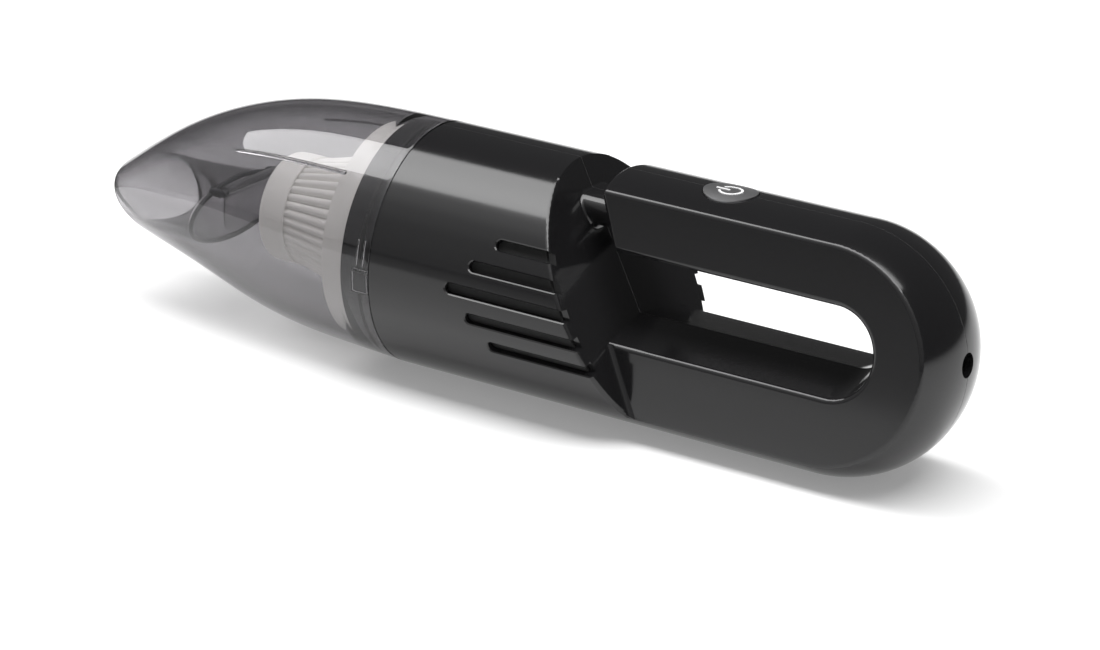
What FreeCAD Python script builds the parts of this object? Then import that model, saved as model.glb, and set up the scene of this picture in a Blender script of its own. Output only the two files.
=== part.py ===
import FreeCAD, Part
import math
import os
from FreeCAD import Vector

# A cordless desktop mini vacuum cleaner, in millimetres.
# +X points to the suction mouth, +Y to the left side, +Z up.
# x = 0 is the seam between the clear dust cup and the black casing.
# The sub-parts are drawn about the barrel's axis and shifted on export,
# so that the origin lies on the narrow flat that the cleaner rests on.

X_AXIS = Vector(1, 0, 0)
Y_AXIS = Vector(0, 1, 0)
Z_AXIS = Vector(0, 0, 1)
CENTRE = Vector(0, 0, 0)

# Casing
barrel_r = 40.0
casing_wall = 2.2
rest_flat_depth = 0.4
origin_x = -37.7
overrun = 10.0
tiny_gap = 0.05
small_gap = 0.3
join_tolerance = 0.001
edge_round = 1.8
root_round = 1.8
rim_round = 1.4
grip_lap = 2.6

# Barrel's slanted rear face, given on the axis
rear_face_x = -73.0
rear_face_slant_deg = 28.0

# Handle: a rounded rear dome, with two sloping side flats
dome_centre_x = -149.5
grip_half_w = 21.1
grip_slope_deg = 8.0
gap_crown = 3.2
gap_end_back = 3.4
bar_front_x = -82.8
bar_front_slant_deg = 21.5

# Neck between the barrel and the upper bar
neck_half_w = 9.4
neck_drop = 9.1
neck_h = 9.6
neck_round = 4.6
neck_root_round = 1.2

# Exhaust slots on both sides of the barrel
slot_count = 5
slot_w = 3.6
slot_depth = 3.2
slot_bevel = 0.4
slot_pitch_deg = 12.3
slot_centre_deg = 3.3
slot_front_x = -28.4
slot_step = 7.6

# Exhaust foam behind the slots
foam_t = 2.8
foam_front_x = -26.0
foam_shelf_rear_x = -60.0
foam_half_deg = 30.0
foam_shelf_t = 1.4

# Power button, its symbol and its switch
button_x = -105.5
button_r = 8.6
button_proud = 0.4
button_gap = 0.3
button_travel = 0.8
button_flange_w = 1.6
button_flange_t = 1.2
button_stem_r = 2.4
button_stem_l = 4.5
symbol_r = 3.6
symbol_line = 0.7
symbol_t = 0.15
symbol_open_deg = 60.0
symbol_bar_l = 4.6
switch_size = 6.0
switch_h = 3.5
plunger_r = 1.7
plunger_h = 1.5

# Control board in the upper bar, carried by posts under the button
board_t = 1.6
board_w = 18.0
board_ahead_l = 25.5
board_margin = 1.0
board_post_r = 2.6
board_post_h = 5.7
board_part_h = 1.8
board_part_l = 5.0
board_part_w = 4.0
board_part_count = 4
board_part_pitch = 6.5
board_part_gap = 2.0
board_post_shares = (0.1, 0.9)

# Charging socket at the rear
socket_z = 3.2
socket_hole_r = 3.9
socket_boss_wall = 1.8
socket_wall_l = 4.9
socket_size = 9.0
socket_l = 13.6
socket_bore_r = 2.8
socket_bore_l = 9.5
socket_pin_r = 0.8

# Battery cells in the lower bar
cell_r = 9.25
cell_l = 65.0
cell_front_x = -86.0
cell_rise = 11.8
cell_head_l = 5.15
cell_half_pitch = 9.45
cell_tip_r = 3.0
cell_tip_h = 0.8
cradle_inset = 4.0
cradle_drop = 3.0
tab_w = 6.0
tab_t = 0.3

# Intake bulkhead in the front of the casing
bulkhead_gap = 0.1
bulkhead_rear_x = -6.0
spigot_gap = 0.3
spigot_l = 11.6
spigot_wall = 2.4
bulkhead_flange_h = 1.0
bulkhead_flange_t = 1.6
grille_t = 2.0
grille_hub_r = 5.0
grille_hole_r = 20.0
grille_spoke_w = 2.0
grille_spokes = 8
grille_ring_r = 12.5
key_w = 7.0
key_h = 0.9
key_l = 7.5
key_deg = -6.0
seal_wire_r = 0.9
seal_x = 4.6

# Fan, its housing and the motor
fan_diffuser_w = 6.6
fan_front_x = -9.0
fan_depth = 9.0
fan_disc_t = 1.2
fan_blades = 9
fan_blade_t = 1.2
fan_inlet_r = 13.0
fan_hub_r = 4.5
fan_blade_lean_deg = 20.0
housing_wall = 1.6
housing_gap = 1.5
housing_vents = 12
housing_vent_r = 2.6
shaft_r = 1.5
shaft_gap = 0.05
motor_r = 16.0
motor_l = 36.0
motor_wall = 1.0
motor_lip_r = 5.0
motor_lip_l = 1.6
magnet_t = 2.4
rotor_r = 11.4
end_cap_t = 3.0
terminal_w = 2.8
terminal_l = 4.0
terminal_t = 0.5
mount_ring_t = 3.0
mount_ring_l = 4.0
mount_ring_x = -54.0
mount_rib_w = 20.0

# Clear dust cup: stations from the seam to past the mouth
cup_l = 126.0
cup_wall = 1.9
cup_seam_gap = 0.35
collar_wall = 1.7
collar_l = 12.4
cup_section_points = 20
cup_along_shares = (0.0, 0.16, 0.32, 0.475, 0.635, 0.795, 0.95, 1.0)
cup_top_shares = (1.0, 0.995, 0.972, 0.90, 0.747, 0.50, 0.157, 0.035)
cup_bottom_shares = (1.0, 0.972, 0.935, 0.84, 0.675, 0.52, 0.38, 0.34)
cup_side_shares = (1.0, 0.985, 0.945, 0.88, 0.79, 0.675, 0.50, 0.44)
mouth_x = 112.4
mouth_z = -6.0
mouth_slant_deg = 37.5
cup_rib_w = 1.6
cup_rib_h = 0.5
cup_rib_front_x = 63.0
cup_rib_l = 46.0
cup_rib_deg = 43.0

# Inlet duct inside the cup, its rim and the flap valve
duct_wall = 1.3
duct_end_x = 80.5
duct_end_z = -5.0
duct_end_side_gap = 4.2
duct_end_half_h = 11.4
duct_end_tilt_deg = 8.0
duct_mid_x = 98.0
duct_mid_z = -5.5
duct_mid_side_gap = 2.1
duct_mid_half_h = 10.8
duct_mouth_x = 128.0
duct_mouth_z = -6.5
duct_mouth_half_w = 22.0
duct_mouth_half_h = 13.5
rim_h = 1.3
rim_t = 1.8
flap_t = 0.5
flap_half_w = 14.2
flap_h = 14.0
flap_pin_r = 1.1
flap_pin_z = 4.6
flap_pin_back = 4.0
flap_pin_half_l = 16.4
flap_knuckle_wall = 0.9
flap_ear_t = 1.8
flap_ear_r = 2.6

# Pleated filter: cap, pleats, inner cage, flange and gasket
pleat_count = 26
pleat_depth = 3.4
pleat_paper_t = 0.9
pleat_front_r = 17.3
pleat_rear_r = 24.6
pleat_front_x = 50.4
filter_cap_r = 18.4
filter_cap_l = 8.4
filter_cap_round = 2.4
filter_cap_rim = 2.0
flange_side_gap = 2.7
flange_front_x = 20.6
flange_rear_x = 12.3
flange_face_t = 1.8
flange_rim_t = 2.2
cage_r = 11.8
cage_wall = 1.2
cage_windows = 6
cage_window_w = 7.0
cage_band = 4.0
gasket_t = 0.5

# Screws that join the two casing halves, placed by shares of the barrel's sizes
screw_r = 1.3
screw_head_r = 2.6
screw_head_h = 2.0
screw_l = 14.0
screw_boss_r = 3.4
barrel_screw_shares = ((0.575, -0.825), (0.493, 0.825))
grip_screw_shares = ((0.16, 0.775), (-0.2, -0.69), (-0.66, 0.39))

# Sizes that follow from the ones above
axis_height = barrel_r - rest_flat_depth
casing_inner_r = barrel_r - casing_wall
casing_length = barrel_r - dome_centre_x
collar_bore_r = barrel_r - collar_wall
spigot_r = collar_bore_r - spigot_gap
flange_r = collar_bore_r - flange_side_gap
fan_r = casing_inner_r - 2 * small_gap - housing_wall - fan_diffuser_w
neck_top = barrel_r - neck_drop
neck_bottom = neck_top - neck_h
socket_boss_x = dome_centre_x - barrel_r + socket_wall_l

# The upper bar is as high as the button, its switch, the board and its posts need
flange_reach = button_r + button_flange_w
flange_top = math.sqrt(casing_inner_r ** 2 - flange_reach ** 2) - small_gap
switch_top = flange_top - button_stem_l - plunger_h
board_z = switch_top - switch_h - board_t
board_front_x = button_x + board_ahead_l
board_parts_x = button_x - switch_size / 2 - board_part_gap
board_rear_x = board_parts_x - (board_part_count - 1) * board_part_pitch - board_part_l - board_margin
board_l = board_front_x - board_rear_x
gap_top = board_z - board_post_h

# The lower bar is as high as the battery cells need
cell_z = casing_wall + cell_rise - barrel_r
cradle_top_z = cell_z - cradle_drop
gap_bottom = cell_z + cell_r + cell_head_l + casing_wall


# Basic solids, each placed by its ends

def rod_x(radius, x_from, x_to, y=0, z=0):
    return Part.makeCylinder(radius, x_to - x_from, Vector(x_from, y, z), X_AXIS)


def rod_y(radius, y_from, y_to, x=0, z=0):
    return Part.makeCylinder(radius, y_to - y_from, Vector(x, y_from, z), Y_AXIS)


def rod_z(radius, z_from, z_to, x=0, y=0):
    return Part.makeCylinder(radius, z_to - z_from, Vector(x, y, z_from), Z_AXIS)


def tube_x(outer, inner, x_from, x_to):
    return rod_x(outer, x_from, x_to).cut(rod_x(inner, x_from - overrun, x_to + overrun))


def block(x_from, x_to, y_from, y_to, z_from, z_to):
    corner = Vector(x_from, y_from, z_from)
    return Part.makeBox(x_to - x_from, y_to - y_from, z_to - z_from, corner)


def fuse_all(shapes):
    joined = shapes[0]
    for shape in shapes[1:]:
        joined = joined.fuse(shape)
    return joined.removeSplitter()


def prism_along_y(points, half_width):
    corners = [Vector(x, -half_width, z) for x, z in points]
    outline = Part.makePolygon(corners + corners[:1])
    return Part.Face(outline).extrude(Vector(0, 2 * half_width, 0))


def slant(angle_deg):
    return math.tan(math.radians(angle_deg))


def side_half(shape, side):
    reach = 2 * casing_length
    if side > 0:
        half = block(-reach, reach, 0, reach, -reach, reach)
    else:
        half = block(-reach, reach, -reach, 0, -reach, reach)
    return shape.common(half)


# Casing form: the outer shape at inset 0, and its cavity at the wall's inset

def capsule(inset):
    radius = barrel_r - inset
    dome_top = Vector(dome_centre_x, 0, radius)
    dome_mid = Vector(dome_centre_x - radius * math.sqrt(0.5), 0, radius * math.sqrt(0.5))
    dome_pole = Vector(dome_centre_x - radius, 0, 0)
    front_top = Vector(0, 0, radius)
    edges = [
        Part.makeLine(CENTRE, front_top),
        Part.makeLine(front_top, dome_top),
        Part.Arc(dome_top, dome_mid, dome_pole).toShape(),
        Part.makeLine(dome_pole, CENTRE),
    ]
    return Part.Face(Part.Wire(edges)).revolve(CENTRE, X_AXIS, 360)


def rear_face_at(z, inset=0):
    shift = inset / math.cos(math.radians(rear_face_slant_deg))
    return rear_face_x + shift + slant(rear_face_slant_deg) * z


def bar_front_at(z, inset=0):
    shift = inset / math.cos(math.radians(bar_front_slant_deg))
    return bar_front_x - shift + slant(bar_front_slant_deg) * z


def grip_half_at(z, inset=0):
    shift = inset / math.cos(math.radians(grip_slope_deg))
    return grip_half_w - shift - slant(grip_slope_deg) * z


def behind_rear_face(inset):
    high = barrel_r + overrun
    rear = dome_centre_x - high
    points = [
        (rear_face_at(high, inset), high),
        (rear_face_at(-high, inset), -high),
        (rear, -high),
        (rear, high),
    ]
    return prism_along_y(points, high)


def grip_slab(inset):
    high = barrel_r + overrun
    rear = dome_centre_x - high
    outline = [
        Vector(rear, grip_half_at(high, inset), high),
        Vector(rear, grip_half_at(-high, inset), -high),
        Vector(rear, -grip_half_at(-high, inset), -high),
        Vector(rear, -grip_half_at(high, inset), high),
    ]
    face = Part.Face(Part.makePolygon(outline + outline[:1]))
    return face.extrude(Vector(overrun - rear, 0, 0))


def gap_wire(grow, y):
    top = gap_top + grow
    low = gap_bottom - grow
    middle = (top + low) / 2
    radius = (top - low) / 2
    end_x = dome_centre_x - gap_end_back
    upper = Vector(end_x, y, top)
    lower = Vector(end_x, y, low)
    tip = Vector(end_x - radius, y, middle)
    front_top = Vector(0, y, top)
    front_low = Vector(0, y, low)
    edges = [
        Part.makeLine(front_top, upper),
        Part.Arc(upper, tip, lower).toShape(),
        Part.makeLine(lower, front_low),
        Part.makeLine(front_low, front_top),
    ]
    return Part.Wire(edges)


def finger_gap(inset):
    halves = []
    for side in (1, -1):
        middle = gap_wire(inset - gap_crown, 0)
        outer = gap_wire(inset + gap_crown, side * 2 * grip_half_w)
        halves.append(Part.makeLoft([middle, outer], True, True))
    return fuse_all(halves)


def bar_front_wedge(inset):
    high = barrel_r + overrun
    middle = (gap_top + gap_bottom) / 2
    points = [
        (bar_front_at(high, inset), high),
        (bar_front_at(middle, inset), middle),
        (0, middle),
        (0, high),
    ]
    return prism_along_y(points, high)


def open_form(inset):
    behind = behind_rear_face(inset)
    form = capsule(inset).cut(behind.cut(grip_slab(inset)))
    form = form.cut(finger_gap(inset).common(behind))
    return form.cut(bar_front_wedge(inset).common(behind))


def neck(inset):
    half = neck_half_w - inset
    top = neck_top - inset
    low = neck_bottom + inset
    rear = bar_front_at(low, inset) - overrun
    front = rear_face_at(top, inset) + overrun
    bar = block(rear, front, -half, half, low, top)
    long_edges = [edge for edge in bar.Edges if abs(edge.tangentAt(0).x) > 0.5]
    return bar.makeFillet(neck_round - inset, long_edges)


def lies_on(edge, distance):
    if edge.Degenerated:
        return False
    return all(abs(distance(point)) < tiny_gap for point in edge.discretize(3))


def lies_on_flat(edge):
    return lies_on(edge, lambda p: p.y - grip_half_at(p.z))


def lies_on_rear_face(edge):
    return lies_on(edge, lambda p: p.x - rear_face_at(p.z))


def lies_on_lap_face(edge):
    return lies_on(edge, lambda p: p.x - rear_face_at(p.z, grip_lap))


def lies_on_bar_front(edge):
    return lies_on(edge, lambda p: p.x - bar_front_at(p.z))


def lies_on_barrel(edge):
    return lies_on(edge, lambda p: math.hypot(p.y, p.z) - barrel_r)


def lies_on_neck(edge):
    def outside(p):
        return max(p.y - neck_half_w, p.z - neck_top, neck_bottom - p.z)
    return all(outside(point) < tiny_gap for point in edge.discretize(3))


def root_line_point(z):
    return Vector(rear_face_at(z, -root_round), grip_half_at(z, -root_round), z)


def root_strip():
    grown = grip_slab(-root_round).cut(grip_slab(tiny_gap))
    strip = grown.common(behind_rear_face(tiny_gap)).cut(behind_rear_face(-root_round))
    low = root_line_point(-2 * barrel_r)
    run = root_line_point(2 * barrel_r) - low
    strip = strip.cut(Part.makeCylinder(root_round, run.Length, low, run))
    limit = capsule(0).common(block(-casing_length, 0, 0, barrel_r, -barrel_r, gap_bottom))
    return strip.common(limit).cut(finger_gap(0))


def barrel_half():
    form = side_half(capsule(0), 1).cut(behind_rear_face(0))
    rim = [edge for edge in form.Edges if lies_on_rear_face(edge) and lies_on_barrel(edge)]
    return form.makeFillet(rim_round, rim)


def grip_half():
    behind = behind_rear_face(0)
    form = side_half(capsule(0), 1).common(behind_rear_face(grip_lap)).common(grip_slab(0))
    form = form.cut(finger_gap(0).common(behind)).cut(bar_front_wedge(0).common(behind))
    rims = [edge for edge in form.Edges if lies_on_flat(edge) and not lies_on_rear_face(edge)]
    rims = [edge for edge in rims if not lies_on_lap_face(edge)]
    ends = [edge for edge in form.Edges if lies_on_bar_front(edge) and lies_on_barrel(edge)]
    return form.makeFillet(edge_round, rims + ends)


def outer_half():
    form = barrel_half().fuse([grip_half()], join_tolerance).removeSplitter()
    form = form.fuse(side_half(neck(0), 1)).removeSplitter()
    joint = [edge for edge in form.Edges if lies_on_rear_face(edge) and lies_on_neck(edge)]
    joint = [edge for edge in joint if edge.CenterOfMass.y > tiny_gap]
    form = form.makeFillet(neck_root_round, joint)
    return form.fuse(root_strip()).removeSplitter()


def inner_half():
    form = open_form(casing_wall).fuse(neck(casing_wall)).removeSplitter()
    return side_half(form, 1)


# Exhaust slots, open through the barrel's rear edge

def slot_tool(place):
    angle = slot_centre_deg + place * slot_pitch_deg
    front = slot_front_x - abs(place) * slot_step - slot_w / 2
    rear = rear_face_at(-barrel_r)
    low = barrel_r - slot_depth
    high = barrel_r + overrun
    body = block(rear, front, low, high, -slot_w / 2, slot_w / 2)
    end = rod_y(slot_w / 2, low, high, front, 0)
    tool = fuse_all([body, end, slot_flare(rear, front)])
    tool.rotate(CENTRE, X_AXIS, angle)
    return tool


def slot_flare(rear, front):
    low = barrel_r - slot_bevel
    high = barrel_r + slot_bevel
    narrow = slot_w / 2
    wide = narrow + 2 * slot_bevel
    outline = [
        Vector(rear, low, narrow),
        Vector(rear, high, wide),
        Vector(rear, high, -wide),
        Vector(rear, low, -narrow),
    ]
    body = Part.Face(Part.makePolygon(outline + outline[:1])).extrude(Vector(front - rear, 0, 0))
    end = Part.makeCone(narrow, wide, high - low, Vector(front, low, 0), Y_AXIS)
    return body.fuse(end)


def slot_tools(side):
    half = slot_count // 2
    tools = Part.makeCompound([slot_tool(place) for place in range(-half, half + 1)])
    if side < 0:
        tools = tools.mirror(CENTRE, Y_AXIS)
    return tools


# Screws run along Y from the right half into the left half

def screw_boss(x, z):
    return rod_y(screw_boss_r, -barrel_r, barrel_r, x, z)


def screw_sites():
    sites = []
    for x_share, z_share in barrel_screw_shares:
        sites.append((x_share * rear_face_x, z_share * barrel_r))
    for x_share, z_share in grip_screw_shares:
        sites.append((dome_centre_x + x_share * barrel_r, z_share * barrel_r))
    return sites


def screw_bore(x, z):
    head_y = -screw_l / 2
    shank = rod_y(screw_r + tiny_gap, head_y - overrun, head_y + screw_l + small_gap, x, z)
    head = rod_y(screw_head_r + small_gap, -2 * barrel_r, head_y + tiny_gap, x, z)
    return shank.fuse(head)


def casing_screws():
    screws = []
    for x, z in screw_sites():
        head_y = -screw_l / 2
        shank = rod_y(screw_r, head_y, head_y + screw_l, x, z)
        head = rod_y(screw_head_r, head_y - screw_head_h, head_y, x, z)
        screws.append(shank.fuse(head))
    return Part.makeCompound(screws)


# Casing halves

def button_hole():
    return rod_z(button_r + button_gap, gap_top + overrun, barrel_r + overrun, button_x)


def socket_bore():
    rear = dome_centre_x - barrel_r - overrun
    return rod_x(socket_hole_r, rear, socket_boss_x + overrun / 2, 0, socket_z)


def socket_boss():
    boss_r = socket_hole_r + socket_boss_wall
    rear = dome_centre_x - barrel_r
    return rod_x(boss_r, rear, socket_boss_x, 0, socket_z)


def mount_ribs():
    low_r = motor_r + mount_ring_t + tiny_gap
    front = mount_ring_x
    rear = mount_ring_x - mount_ring_l
    ring = tube_x(casing_inner_r + tiny_gap, low_r, rear, front)
    half = mount_rib_w / 2
    column = block(rear, front, -half, half, -barrel_r, barrel_r)
    return ring.common(column)


def foam_shelves(side):
    outer = casing_inner_r + tiny_gap
    inner = casing_inner_r - foam_t - small_gap
    ring = tube_x(outer, inner, foam_shelf_rear_x, foam_front_x)
    shelves = []
    for end in (1, -1):
        angle = slot_centre_deg + end * foam_half_deg
        lean = end * (foam_shelf_t / 2 + small_gap)
        low = lean - foam_shelf_t / 2
        high = low + foam_shelf_t
        bar = block(foam_shelf_rear_x, foam_front_x, inner - overrun, outer + overrun, low, high)
        bar.rotate(CENTRE, X_AXIS, angle)
        shelves.append(bar.common(ring))
    both = Part.makeCompound(shelves)
    if side < 0:
        both = both.mirror(CENTRE, Y_AXIS)
    return both


def board_posts():
    low = gap_top - gap_crown
    posts = []
    for share in board_post_shares:
        x = board_front_x - share * board_l
        posts.append(rod_z(board_post_r, low, board_z, x, 0))
    return posts


def bulkhead_groove():
    front = bulkhead_rear_x + bulkhead_flange_t + tiny_gap
    radius = casing_inner_r + bulkhead_flange_h + tiny_gap
    return rod_x(radius, bulkhead_rear_x - tiny_gap, front)


def rest_flat_tool():
    reach = casing_length + barrel_r
    return block(-reach, reach, -reach, reach, -2 * barrel_r, -axis_height)


def casing_half(side):
    outer = outer_half()
    cavity = inner_half()
    if side < 0:
        outer = outer.mirror(CENTRE, Y_AXIS)
        cavity = cavity.mirror(CENTRE, Y_AXIS)
    added = [screw_boss(x, z) for x, z in screw_sites()]
    added = added + [socket_boss(), mount_ribs(), foam_shelves(side)]
    added = added + board_posts()
    added = [side_half(shape, side).common(outer) for shape in added]
    shell = outer.cut(cavity).fuse(added)
    cuts = [slot_tools(side), button_hole(), socket_bore(), bulkhead_groove(), rest_flat_tool()]
    cuts = cuts + [screw_bore(x, z) for x, z in screw_sites()]
    for tool in cuts:
        shell = shell.cut(tool)
    return shell


# Exhaust foam pads

def exhaust_foam(side):
    outer = casing_inner_r - small_gap
    ring = tube_x(outer, outer - foam_t, rear_face_at(-barrel_r), foam_front_x)
    pad = ring.cut(behind_rear_face(casing_wall + small_gap))
    reach = 2 * barrel_r
    for end in (1, -1):
        angle = slot_centre_deg + end * foam_half_deg
        keep = block(-reach, reach, 0, reach, -reach if end > 0 else 0, 0 if end > 0 else reach)
        keep.rotate(CENTRE, X_AXIS, angle)
        pad = pad.common(keep)
    if side < 0:
        pad = pad.mirror(CENTRE, Y_AXIS)
    return pad


# Power button, symbol and switch

def curved_cap(radius_out, radius_in, half):
    reach = 2 * half
    outer = rod_x(radius_out, button_x - reach, button_x + reach)
    inner = rod_x(radius_in, button_x - reach - overrun, button_x + reach + overrun)
    return outer.cut(inner)


def power_button():
    top_r = barrel_r + button_proud
    column = rod_z(button_r, flange_top - button_flange_t, barrel_r + overrun, button_x)
    cap = column.common(rod_x(top_r, button_x - 2 * button_r, button_x + 2 * button_r))
    flange = rod_z(flange_reach, flange_top - button_flange_t, flange_top, button_x)
    stem = rod_z(button_stem_r, flange_top - button_stem_l, flange_top, button_x)
    return fuse_all([cap, flange, stem])


def power_symbol():
    skin = curved_cap(barrel_r + button_proud + symbol_t, barrel_r + button_proud, 2 * button_r)
    low = barrel_r / 2
    high = barrel_r + overrun
    outer = rod_z(symbol_r + symbol_line / 2, low, high, button_x)
    inner = rod_z(symbol_r - symbol_line / 2, low - overrun, high + overrun, button_x)
    ring = outer.cut(inner)
    half = math.radians(symbol_open_deg / 2)
    far = 2 * symbol_r
    wedge_points = [
        Vector(button_x, 0, low),
        Vector(button_x + far * math.cos(half), far * math.sin(half), low),
        Vector(button_x + far * math.cos(half), -far * math.sin(half), low),
    ]
    wedge = Part.Face(Part.makePolygon(wedge_points + wedge_points[:1]))
    wedge = wedge.extrude(Vector(0, 0, high - low))
    half_line = symbol_line / 2
    start = button_x + half_line
    bar = block(start, start + symbol_bar_l, -half_line, half_line, low, high)
    return Part.makeCompound([ring.cut(wedge).common(skin), bar.common(skin)])


def tact_switch():
    half = switch_size / 2
    low = board_z + board_t
    return block(button_x - half, button_x + half, -half, half, low, low + switch_h)


def switch_plunger():
    return rod_z(plunger_r, switch_top, switch_top + plunger_h, button_x)


def switch_recess():
    low = board_z + board_t + switch_h
    return rod_z(plunger_r + tiny_gap, low - button_travel - tiny_gap, low + overrun, button_x)


# Control board

def control_board():
    half = board_w / 2
    return block(board_rear_x, board_front_x, -half, half, board_z, board_z + board_t)


def board_parts():
    low = board_z + board_t
    parts = []
    for place in range(board_part_count):
        side = 1 if place % 2 else -1
        x = board_parts_x - place * board_part_pitch
        y = side * board_w / 4
        half = board_part_w / 2
        parts.append(block(x - board_part_l, x, y - half, y + half, low, low + board_part_h))
    return Part.makeCompound(parts)


# Charging socket

def charging_socket():
    rear = socket_boss_x + small_gap
    half = socket_size / 2
    body = block(rear, rear + socket_l, -half, half, socket_z - half, socket_z + half)
    bore = rod_x(socket_bore_r, rear - overrun, rear + socket_bore_l, 0, socket_z)
    pin = rod_x(socket_pin_r, rear + socket_pin_r, rear + socket_l / 2 + socket_bore_l / 2, 0, socket_z)
    return body.cut(bore).fuse(pin)


# Battery

def battery_cell(side):
    rear = cell_front_x - cell_l
    y = side * cell_half_pitch
    can = rod_x(cell_r, rear, cell_front_x, y, cell_z)
    tip = rod_x(cell_tip_r, cell_front_x, cell_front_x + cell_tip_h, y, cell_z)
    return can.fuse(tip)


def battery_cradle():
    rear = cell_front_x - cell_l + cradle_inset
    front = cell_front_x - cradle_inset
    half = barrel_r
    bar = block(rear, front, -half, half, -barrel_r, cradle_top_z)
    limit = capsule(casing_wall + tiny_gap).common(grip_slab(casing_wall + tiny_gap))
    bar = bar.common(limit)
    for side in (1, -1):
        y = side * cell_half_pitch
        bar = bar.cut(rod_x(cell_r + tiny_gap, rear - overrun, front + overrun, y, cell_z))
    return bar


def battery_tab(x_from, x_to):
    half = cell_half_pitch + cell_tip_r
    return block(x_from, x_to, -half, half, cell_z - tab_w / 2, cell_z + tab_w / 2)


def front_tab():
    front = cell_front_x + cell_tip_h
    return battery_tab(front, front + tab_t)


def rear_tab():
    rear = cell_front_x - cell_l
    return battery_tab(rear - tab_t, rear)


# Intake bulkhead with the spigot that carries the cup

def bulkhead_key():
    outer = spigot_r + key_h
    ring = tube_x(outer, spigot_r - spigot_wall / 2, cup_seam_gap, key_l)
    half = key_w / 2
    bar = block(-barrel_r, barrel_r, 0, 2 * barrel_r, -half, half)
    bar.rotate(CENTRE, X_AXIS, key_deg)
    return ring.common(bar)


def key_slot():
    half = key_w / 2 + small_gap
    outer = spigot_r + key_h + small_gap
    bar = block(-overrun, key_l + small_gap, 0, 2 * barrel_r, -half, half)
    bar.rotate(CENTRE, X_AXIS, key_deg)
    return bar.common(rod_x(outer, -overrun, key_l + small_gap))


def bulkhead_tube_r():
    return casing_inner_r - bulkhead_gap - spigot_wall


def intake_bulkhead():
    seat_r = casing_inner_r - bulkhead_gap
    tube_r = bulkhead_tube_r()
    seat = tube_x(seat_r, tube_r, bulkhead_rear_x, 0)
    flange_front = bulkhead_rear_x + bulkhead_flange_t
    flange = tube_x(casing_inner_r + bulkhead_flange_h, tube_r, bulkhead_rear_x, flange_front)
    spigot = tube_x(spigot_r, tube_r, 0, spigot_l)
    body = fuse_all([seat, flange, spigot, bulkhead_key()])
    seal_r = spigot_r - seal_wire_r / 2
    groove = Part.makeTorus(seal_r, seal_wire_r + tiny_gap, Vector(seal_x, 0, 0), X_AXIS)
    return body.cut(groove)


def intake_grille():
    front = spigot_l
    rear = spigot_l - grille_t
    half = grille_spoke_w / 2
    rim = tube_x(bulkhead_tube_r(), grille_hole_r, rear, front)
    hub = rod_x(grille_hub_r, rear, front)
    ring = tube_x(grille_ring_r + half, grille_ring_r - half, rear, front)
    spokes = []
    for place in range(grille_spokes):
        spoke = block(rear, front, -half, half, 0, grille_hole_r + half)
        spoke.rotate(CENTRE, X_AXIS, place * 360 / grille_spokes)
        spokes.append(spoke)
    return fuse_all([rim, hub, ring] + spokes)


def cup_seal():
    ring = Part.makeTorus(spigot_r - seal_wire_r / 2, seal_wire_r, Vector(seal_x, 0, 0), X_AXIS)
    limit = rod_x(collar_bore_r - tiny_gap, seal_x - overrun, seal_x + overrun)
    half = key_w / 2 + small_gap
    notch = block(-overrun, barrel_r, 0, 2 * barrel_r, -half, half)
    notch.rotate(CENTRE, X_AXIS, key_deg)
    return ring.common(limit).cut(notch)


# Fan and motor

def fan_rear_x():
    return fan_front_x - fan_depth


def fan_impeller():
    front = fan_front_x
    rear = fan_rear_x()
    back = tube_x(fan_r, shaft_r, rear, rear + fan_disc_t)
    cover = tube_x(fan_r, fan_inlet_r, front - fan_disc_t, front)
    hub = tube_x(fan_hub_r, shaft_r, rear, front - fan_disc_t)
    blades = []
    for place in range(fan_blades):
        half = fan_blade_t / 2
        blade = block(rear + half, front - half, fan_hub_r - half, fan_r - fan_blade_t, -half, half)
        blade.rotate(Vector(0, fan_hub_r, 0), X_AXIS, fan_blade_lean_deg)
        blade.rotate(CENTRE, X_AXIS, place * 360 / fan_blades)
        blades.append(blade)
    trim = rod_x(fan_r, rear, front)
    return fuse_all([back, cover, hub] + [blade.common(trim) for blade in blades])


def motor_front_x():
    return fan_rear_x() - housing_gap - housing_wall


def motor_rear_x():
    return motor_front_x() - motor_l


def fan_housing():
    outer = seat_inner_r() - small_gap
    front = fan_front_x + housing_gap
    rear = motor_front_x()
    wall = tube_x(outer, outer - housing_wall, rear, front)
    face = tube_x(outer, fan_inlet_r, front - housing_wall / 2, front + housing_wall / 2)
    back = tube_x(outer, motor_lip_r + tiny_gap, rear, rear + housing_wall)
    body = fuse_all([wall, face, back])
    vents = []
    ring_r = (outer + motor_r) / 2
    for place in range(housing_vents):
        angle = 2 * math.pi * place / housing_vents
        y = ring_r * math.cos(angle)
        z = ring_r * math.sin(angle)
        vents.append(rod_x(housing_vent_r, rear - overrun, rear + housing_wall + tiny_gap, y, z))
    return body.cut(Part.makeCompound(vents))


def seat_inner_r():
    return casing_inner_r - small_gap


def motor_shaft():
    return rod_x(shaft_r, motor_rear_x() - end_cap_t, fan_front_x)


def motor_rotor():
    inset = motor_wall + housing_gap
    return tube_x(rotor_r, shaft_r, motor_rear_x() + inset + housing_gap, motor_front_x() - inset)


def motor_can():
    front = motor_front_x()
    rear = motor_rear_x()
    shell = rod_x(motor_r, rear, front)
    shell = shell.cut(rod_x(motor_r - motor_wall, rear - overrun, front - motor_wall))
    lip = rod_x(motor_lip_r, front, front + motor_lip_l)
    bore = rod_x(shaft_r + shaft_gap, rear - overrun, front + overrun)
    return shell.fuse(lip).cut(bore)


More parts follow.
